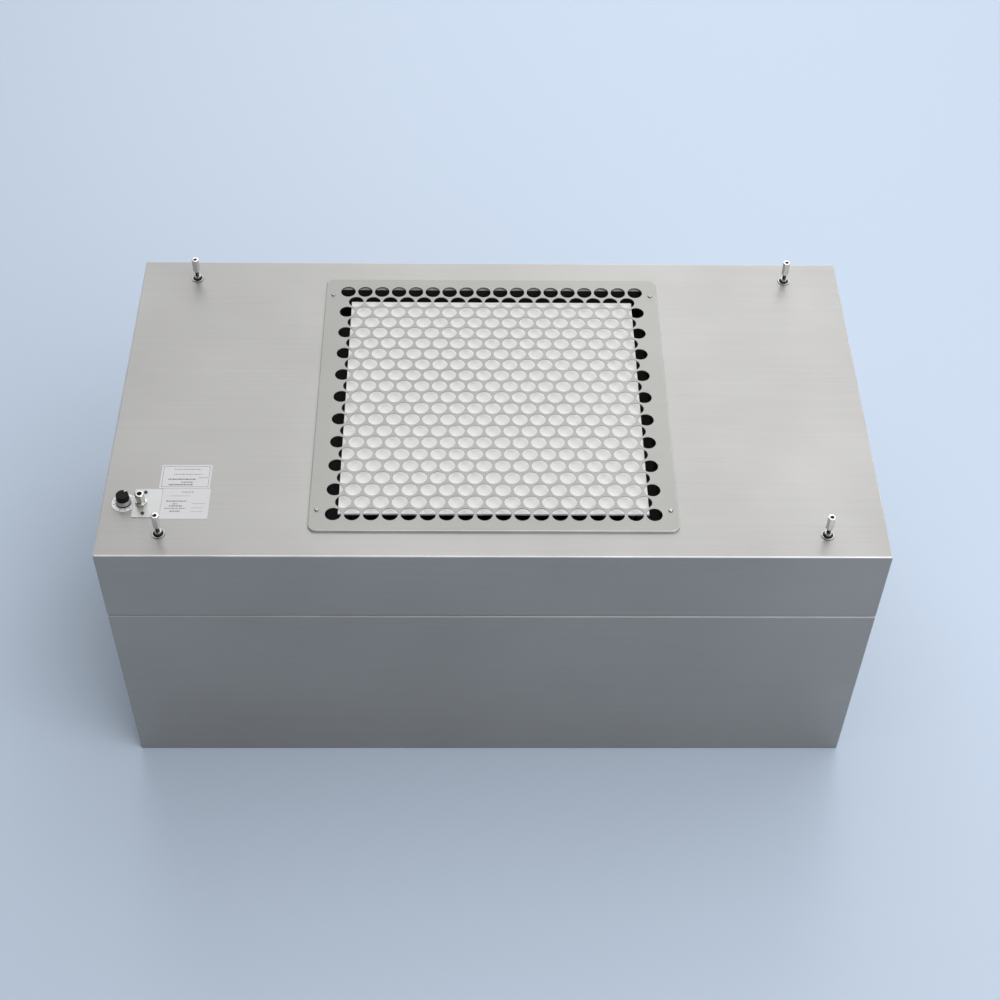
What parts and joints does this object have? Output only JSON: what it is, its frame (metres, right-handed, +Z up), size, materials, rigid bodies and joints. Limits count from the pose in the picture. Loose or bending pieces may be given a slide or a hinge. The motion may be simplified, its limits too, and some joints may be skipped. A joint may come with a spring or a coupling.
{
  "type": "fan filter unit",
  "caption": "Ceiling fan filter unit: brushed steel box with a perforated pre-filter grille, speed knob and cable gland on top, threaded hangers and a pleated filter underneath",
  "frame": {"origin": "centre of the underside", "axes": "+X along the length, +Y across the depth away from the control side's front, +Z up"},
  "size_m": [1.175, 0.646, 0.556],
  "materials": {
    "housing_steel": "satin brushed stainless sheet, grain along the length, folded and welded",
    "grille_steel": "satin punched stainless sheet, a little warmer than the housing",
    "bright_steel": "turned stainless steel, bright",
    "zinc_steel": "zinc-plated steel",
    "dark_steel": "small blackened screws",
    "galvanised_steel": "galvanised sheet with a faint spangle",
    "black_paint": "matt black powder coat",
    "rotor_paint": "semi-matt black motor paint",
    "cast_aluminium": "die-cast aluminium",
    "filter_aluminium": "extruded aluminium filter frame, mill finish",
    "plate_aluminium": "satin anodised aluminium",
    "lamination_steel": "stacked motor laminations",
    "copper_wire": "varnished copper winding",
    "nickel_plate": "nickel-plated brass",
    "white_fleece": "white non-woven pre-filter fleece",
    "filter_paper": "pleated glass-fibre filter paper",
    "potting_resin": "cast polyurethane potting",
    "hot_melt": "hot-melt spacer beads",
    "white_wire": "white-coated welded wire",
    "grey_composite": "glass-filled moulded composite",
    "black_plastic": "black moulded knob",
    "black_rubber": "black rubber",
    "board_green": "green circuit board",
    "terminal_green": "green terminal block",
    "white_plastic": "white capacitor can",
    "sticker_white": "blank white film sticker"
  },
  "bodies": {
    "housing": {"upper_housing": "housing_steel", "lower_housing": "housing_steel", "seam_gasket": "black_rubber", "seam_bolts": "zinc_steel", "seam_nuts": "zinc_steel", "prefilter_grille": "grille_steel", "grille_screws": "bright_steel", "grille_spacers": "black_rubber", "prefilter_mat": "white_fleece", "mat_rack": "black_paint", "inlet_tray": "black_paint", "inlet_nozzle": "black_paint", "motor_base": "cast_aluminium", "stator_core": "lamination_steel", "stator_winding": "copper_wire", "motor_bearings": "bright_steel", "motor_screws": "zinc_steel", "motor_support_plate": "galvanised_steel", "support_rods": "zinc_steel", "support_nuts": "zinc_steel", "vibration_mounts": "black_rubber", "flow_baffle": "galvanised_steel", "filter_frame": "filter_aluminium", "filter_media": "filter_paper", "filter_potting": "potting_resin", "filter_guard": "white_wire", "pleat_beads": "hot_melt", "filter_gasket": "black_rubber", "hold_down_clamps": "zinc_steel", "hold_down_bolts": "zinc_steel", "hold_down_nuts": "zinc_steel", "hanger_washers": "bright_steel", "hanger_nuts": "bright_steel", "hanger_studs": "bright_steel", "hanger_couplings": "bright_steel", "hanger_backing_plates": "galvanised_steel", "control_plate": "plate_aluminium", "control_screws": "dark_steel", "gland_body": "nickel_plate", "gland_cap": "nickel_plate", "gland_seal": "black_rubber", "gland_lock_nut": "nickel_plate", "dial_plate": "plate_aluminium", "potentiometer": "zinc_steel", "bushing_nut": "nickel_plate", "control_box": "galvanised_steel", "control_board": "board_green", "run_capacitor": "white_plastic", "terminal_block": "terminal_green", "blank_stickers": "sticker_white"},
    "fan_rotor": {"impeller": "grey_composite", "motor_rotor": "rotor_paint", "impeller_screws": "zinc_steel", "motor_shaft": "bright_steel"},
    "speed_dial": {"speed_knob": "black_plastic", "knob_skirt": "plate_aluminium", "spindle": "bright_steel"}
  },
  "joints": [
    {"name": "fan_spin", "type": "hinge", "parent": "housing", "child": "fan_rotor", "pos_m": [0, 0, 0.32], "axis": [0, 0, 1], "continuous": true},
    {"name": "speed_knob_turn", "type": "hinge", "parent": "housing", "child": "speed_dial", "pos_m": [-0.5544, -0.221, 0.519], "axis": [0, 0, 1], "range_deg": [-130, 170]}
  ]
}
